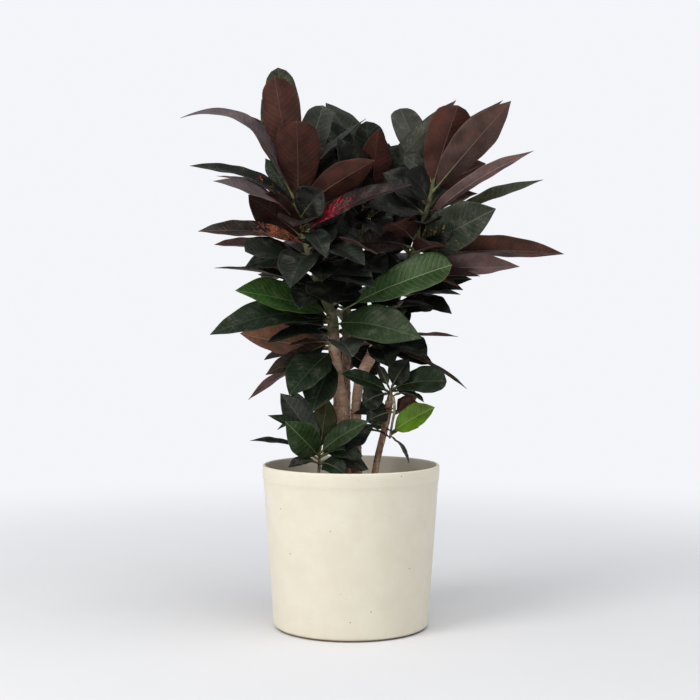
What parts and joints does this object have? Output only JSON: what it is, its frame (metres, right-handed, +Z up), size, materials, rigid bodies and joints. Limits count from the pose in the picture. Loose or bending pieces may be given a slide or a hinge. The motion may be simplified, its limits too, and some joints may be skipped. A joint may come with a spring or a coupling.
{
  "type": "potted croton",
  "caption": "Croton with long dark green, burgundy and orange-flecked leaves in dense heads on bark stems, in a round tapered cream ceramic pot.",
  "frame": {"origin": "centre of the pot's flat bottom, on the floor", "axes": "+Z up along the pot's axis, -Y towards the front of the plant as pictured, +X to its right"},
  "size_m": [0.597, 0.3995, 0.8952],
  "materials": {
    "pot_ceramic": "satin cream glaze with sparse fine dark specks",
    "potting_soil": "loose dark potting mix",
    "bark": "tan bark with leaf scars",
    "foliage": "leathery semi-gloss, dark green above and burgundy below",
    "young_foliage": "leathery semi-gloss green"
  },
  "bodies": {
    "root": {"pot": "pot_ceramic", "soil": "potting_soil", "trunk_left": "bark", "trunk_right": "bark", "trunk_back": "bark", "side_stem": "bark", "crown_left": "foliage", "crown_right": "foliage", "crown_back": "foliage", "side_shoot": "young_foliage", "low_shoot": "young_foliage"}
  },
  "joints": []
}
